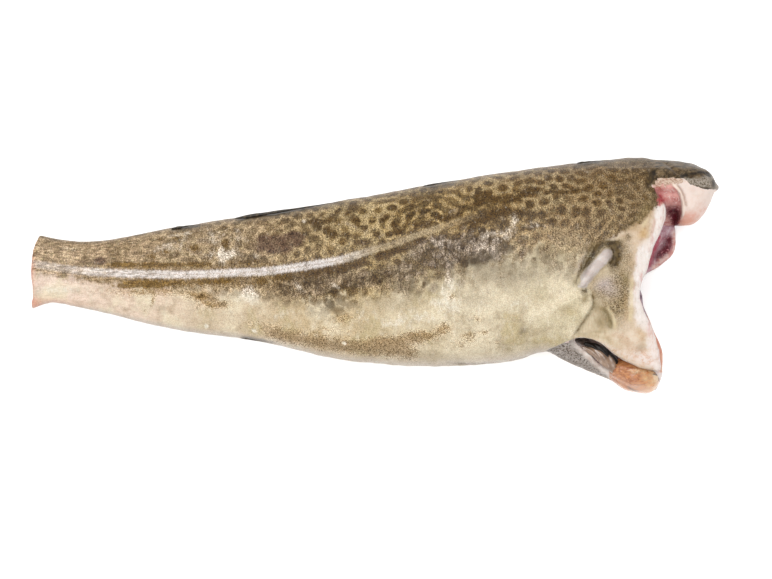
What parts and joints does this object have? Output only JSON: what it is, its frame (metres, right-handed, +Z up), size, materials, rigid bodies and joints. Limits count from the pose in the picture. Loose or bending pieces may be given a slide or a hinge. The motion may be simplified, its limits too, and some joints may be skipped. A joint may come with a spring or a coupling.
{
  "type": "headed and gutted cod",
  "caption": "Raw cod without head, guts, fins or tail, lying on its flank, with its collar and its belly cavity open.",
  "frame": {"origin": "under the middle of the fish's box, on the surface that it lies on", "axes": "+X to the head end, +Y to the back, +Z up; the fish lies on its left flank with the right flank up"},
  "size_m": [0.455, 0.1558, 0.0759],
  "materials": {
    "skin": "wet, mottled skin, olive brown on the back and cream on the belly",
    "flesh": "wet, translucent raw flesh",
    "lining": "wet, dark membrane inside the belly cavity"
  },
  "bodies": {
    "root": {"cod": "skin"}
  },
  "joints": []
}
